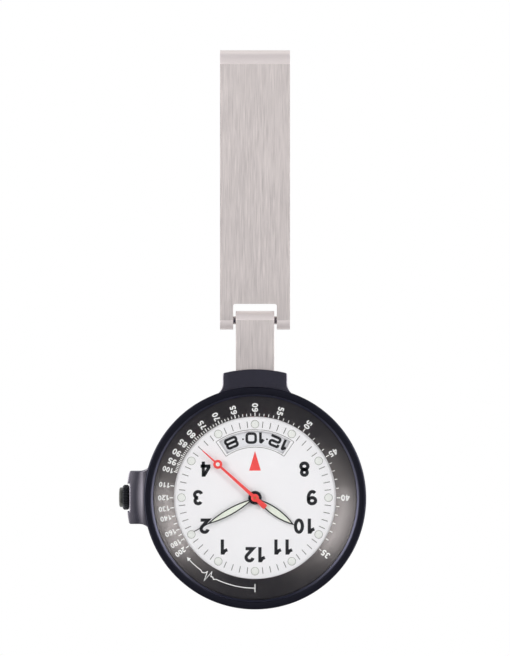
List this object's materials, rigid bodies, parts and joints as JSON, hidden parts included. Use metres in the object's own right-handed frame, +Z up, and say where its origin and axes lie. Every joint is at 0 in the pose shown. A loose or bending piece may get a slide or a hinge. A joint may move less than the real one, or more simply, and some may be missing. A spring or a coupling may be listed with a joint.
{
  "type": "fob watch",
  "caption": "Nurse's fob watch: a bent steel garment clip, a hinged link and a round case with dial, hands, date window, pulse scale, crown and quartz movement.",
  "frame": {"origin": "centre of the garment seat, inside the top bend of the clip", "axes": "+Z up the hanging watch, -Y out of the dial, +X to the right of someone who faces the dial"},
  "size_m": [0.0424, 0.0094, 0.0958],
  "materials": {
    "brushed_steel_strip": "vertically brushed stainless steel strip",
    "plain_steel": "turned steel",
    "case_grey": "dark grey coated steel, satin",
    "bezel_black": "black coated steel, satin",
    "crystal_glass": "clear mineral glass, polished",
    "gasket_dark": "moulded sealing ring",
    "scale_navy": "satin dark navy scale ring with white print",
    "dial_white": "white lacquered brass dial with black print",
    "lume": "pale luminous paint",
    "hand_black": "black lacquered aluminium hand",
    "hand_red": "red lacquered aluminium hand",
    "crown_metal": "gunmetal coated steel",
    "back_steel": "circular brushed steel",
    "movement_brass": "stamped brass",
    "holder_plastic": "moulded holder ring",
    "date_white": "printed date disc",
    "coil_copper": "enamelled copper winding",
    "board_green": "coated circuit board",
    "chip_black": "moulded chip",
    "insulator_film": "insulating film"
  },
  "bodies": {
    "clip": {"clip_strip": "brushed_steel_strip", "clip_pin": "plain_steel"},
    "link": {"link": "brushed_steel_strip"},
    "watch": {"case_middle": "case_grey", "bezel": "bezel_black", "crystal": "crystal_glass", "crystal_gasket": "gasket_dark", "pulsometer_ring": "scale_navy", "case_back": "back_steel", "case_back_gasket": "gasket_dark", "crown_tube": "plain_steel", "spring_bar": "plain_steel", "dial": "dial_white", "lume_dots": "lume", "dial_washer": "movement_brass", "movement_ring": "holder_plastic", "main_plate": "movement_brass", "train_bridge": "movement_brass", "bridge_screws": "plain_steel", "date_plate": "plain_steel", "date_jumper": "plain_steel", "stator": "plain_steel", "coil": "coil_copper", "coil_core": "plain_steel", "circuit_board": "board_green", "ic_chip": "chip_black", "quartz_crystal": "back_steel", "battery": "back_steel", "battery_clamp": "plain_steel", "battery_insulator": "insulator_film"},
    "stem_carriage": {"setting_lever": "plain_steel"},
    "crown": {"crown": "crown_metal", "stem": "plain_steel", "crown_gasket": "gasket_dark", "sliding_pinion": "movement_brass"},
    "seconds": {"second_hand": "hand_red", "second_hand_lume": "lume", "second_wheel": "movement_brass"},
    "minute": {"minute_hand": "hand_black", "minute_hand_lume": "lume", "cannon_pinion": "plain_steel", "centre_wheel": "movement_brass"},
    "hour": {"hour_hand": "hand_black", "hour_hand_lume": "lume", "hour_wheel": "movement_brass"},
    "minute_wheel": {"minute_wheel": "movement_brass"},
    "setting_wheel": {"setting_wheel": "movement_brass"},
    "third_wheel": {"third_wheel": "movement_brass"},
    "intermediate_wheel": {"intermediate_wheel": "holder_plastic"},
    "rotor": {"rotor": "plain_steel"},
    "date_driving_wheel": {"date_driving_wheel": "holder_plastic"},
    "date_disc": {"date_disc": "date_white"}
  },
  "joints": [
    {"name": "clip_hinge", "type": "hinge", "parent": "clip", "child": "link", "pos_m": [0, -0.0009, -0.0456], "axis": [-1, 0, 0], "range_deg": [-60, 110]},
    {"name": "lug_hinge", "type": "hinge", "parent": "link", "child": "watch", "pos_m": [0, -0.0011, -0.0557], "axis": [-1, 0, 0], "range_deg": [-60, 6]},
    {"name": "crown_pull", "type": "slide", "parent": "watch", "child": "stem_carriage", "axis": [-1, 0, 0], "range_m": [0, 0.0009]},
    {"name": "crown_turn", "type": "hinge", "parent": "stem_carriage", "child": "crown", "pos_m": [-0.022, -0.0005, -0.076], "axis": [-1, 0, 0], "continuous": true},
    {"name": "second_hand_turn", "type": "hinge", "parent": "watch", "child": "seconds", "pos_m": [0, -0.0016, -0.076], "axis": [0, 1, 0], "continuous": true},
    {"name": "minute_hand_turn", "type": "hinge", "parent": "watch", "child": "minute", "pos_m": [0, -0.0016, -0.076], "axis": [0, 1, 0], "continuous": true},
    {"name": "hour_hand_turn", "type": "hinge", "parent": "watch", "child": "hour", "pos_m": [0, -0.0016, -0.076], "axis": [0, 1, 0], "continuous": true},
    {"name": "minute_wheel_turn", "type": "hinge", "parent": "watch", "child": "minute_wheel", "pos_m": [-0.003, -0.0016, -0.076], "axis": [0, 1, 0], "continuous": true},
    {"name": "setting_wheel_turn", "type": "hinge", "parent": "watch", "child": "setting_wheel", "pos_m": [-0.0065, -0.0016, -0.076], "axis": [0, 1, 0], "continuous": true},
    {"name": "third_wheel_turn", "type": "hinge", "parent": "watch", "child": "third_wheel", "pos_m": [-0.00279, -0.0016, -0.07795], "axis": [0, 1, 0], "continuous": true},
    {"name": "intermediate_wheel_turn", "type": "hinge", "parent": "watch", "child": "intermediate_wheel", "pos_m": [-0.00047, -0.0016, -0.07334], "axis": [0, 1, 0], "continuous": true},
    {"name": "rotor_turn", "type": "hinge", "parent": "watch", "child": "rotor", "pos_m": [0.0003, -0.0016, -0.07124], "axis": [0, 1, 0], "continuous": true},
    {"name": "date_wheel_turn", "type": "hinge", "parent": "watch", "child": "date_driving_wheel", "pos_m": [0.00459, -0.0016, -0.076], "axis": [0, 1, 0], "continuous": true},
    {"name": "date_disc_turn", "type": "hinge", "parent": "watch", "child": "date_disc", "pos_m": [0, -0.0016, -0.076], "axis": [0, 1, 0], "continuous": true}
  ],
  "couplings": [
    {"joint": "minute_hand_turn", "follows": "second_hand_turn", "ratio": 0.016667},
    {"joint": "hour_hand_turn", "follows": "second_hand_turn", "ratio": 0.0013889},
    {"joint": "minute_wheel_turn", "follows": "second_hand_turn", "ratio": -0.0055556},
    {"joint": "setting_wheel_turn", "follows": "second_hand_turn", "ratio": 0.01},
    {"joint": "third_wheel_turn", "follows": "second_hand_turn", "ratio": -0.13333},
    {"joint": "intermediate_wheel_turn", "follows": "second_hand_turn", "ratio": -5},
    {"joint": "rotor_turn", "follows": "second_hand_turn", "ratio": 30},
    {"joint": "date_wheel_turn", "follows": "second_hand_turn", "ratio": -0.00069444}
  ]
}
